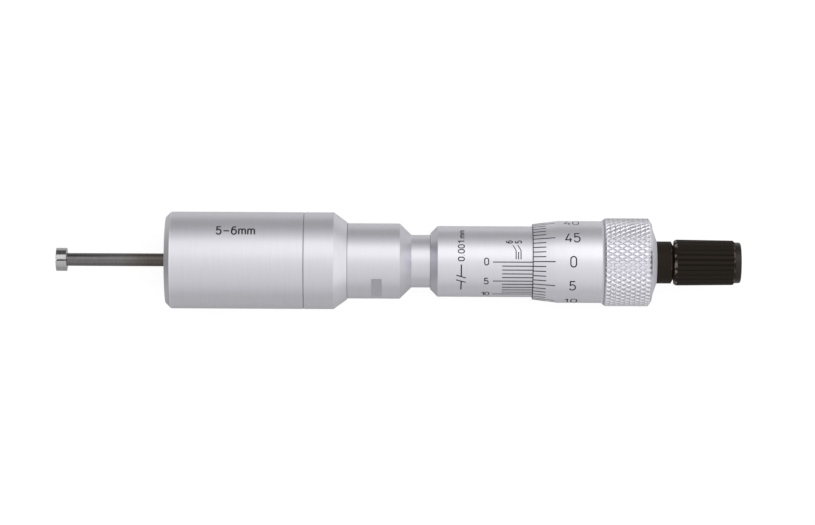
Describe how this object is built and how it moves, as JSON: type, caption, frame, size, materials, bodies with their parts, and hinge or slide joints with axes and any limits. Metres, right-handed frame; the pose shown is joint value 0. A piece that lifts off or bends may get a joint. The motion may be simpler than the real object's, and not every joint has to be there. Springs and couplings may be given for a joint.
{
  "type": "inside micrometer",
  "caption": "Inside micrometer for small bores: split two-point head on a thin stem, satin drum and handle, graduated sleeve and knurled thimble, black ratchet stop.",
  "frame": {"origin": "on the instrument's axis, at the middle of the split measuring head", "axes": "+X along the axis towards the ratchet, +Z towards the side with the index line, the head opens nearly along Y (its split is turned 3.5 degrees about the axis)"},
  "size_m": [0.1414, 0.02, 0.02],
  "materials": {
    "satin_chrome": "satin chrome plated, fine turned",
    "polished_steel": "ground and polished",
    "dark_steel": "dark spring steel",
    "machined_steel": "machined",
    "spring_steel": "drawn wire",
    "bronze": "turned bearing bronze",
    "black_anodised": "black anodised"
  },
  "bodies": {
    "body": {"head_drum": "satin_chrome", "drum_collar": "satin_chrome", "handle_body": "satin_chrome", "sleeve": "satin_chrome", "arm_holder": "machined_steel", "clamp_ring": "machined_steel", "needle_guide": "bronze", "spring_seat": "machined_steel", "return_spring": "spring_steel", "inner_sleeve": "machined_steel", "adjusting_nut": "machined_steel"},
    "needle": {"needle": "polished_steel", "plunger": "machined_steel", "contact_ball": "polished_steel"},
    "spindle": {"spindle": "machined_steel", "thimble": "satin_chrome", "ratchet_body": "black_anodised", "click_ring": "machined_steel", "click_spring": "spring_steel", "ratchet_screw": "machined_steel"},
    "ratchet": {"ratchet_knob": "black_anodised", "end_cap": "black_anodised"},
    "upper_jaw": {"upper_arm": "dark_steel", "upper_contact": "polished_steel"},
    "lower_jaw": {"lower_arm": "dark_steel", "lower_contact": "polished_steel"}
  },
  "joints": [
    {"name": "needle_slide", "type": "slide", "parent": "body", "child": "needle", "axis": [-1, 0, 0], "range_m": [0, 0.0035], "deforming": ["return_spring"]},
    {"name": "thimble_turn", "type": "hinge", "parent": "needle", "child": "spindle", "pos_m": [0.09724, 0, 0], "axis": [-1, 0, 0], "range_deg": [0, 2520]},
    {"name": "ratchet_turn", "type": "hinge", "parent": "spindle", "child": "ratchet", "pos_m": [0.12654, 0, 0], "axis": [-1, 0, 0], "continuous": true},
    {"name": "upper_jaw_open", "type": "hinge", "parent": "body", "child": "upper_jaw", "pos_m": [0.02857, 0.001, 0.00006], "axis": [0, 0.061, -0.9981], "range_deg": [0, 1.2]},
    {"name": "lower_jaw_open", "type": "hinge", "parent": "body", "child": "lower_jaw", "pos_m": [0.02857, -0.001, -0.00006], "axis": [0, -0.061, 0.9981], "range_deg": [0, 1.2]}
  ],
  "couplings": [
    {"joint": "thimble_turn", "follows": "needle_slide", "rad_per_m": 12566},
    {"joint": "upper_jaw_open", "follows": "needle_slide", "rad_per_m": 6.0018},
    {"joint": "lower_jaw_open", "follows": "needle_slide", "rad_per_m": 6.0018}
  ]
}
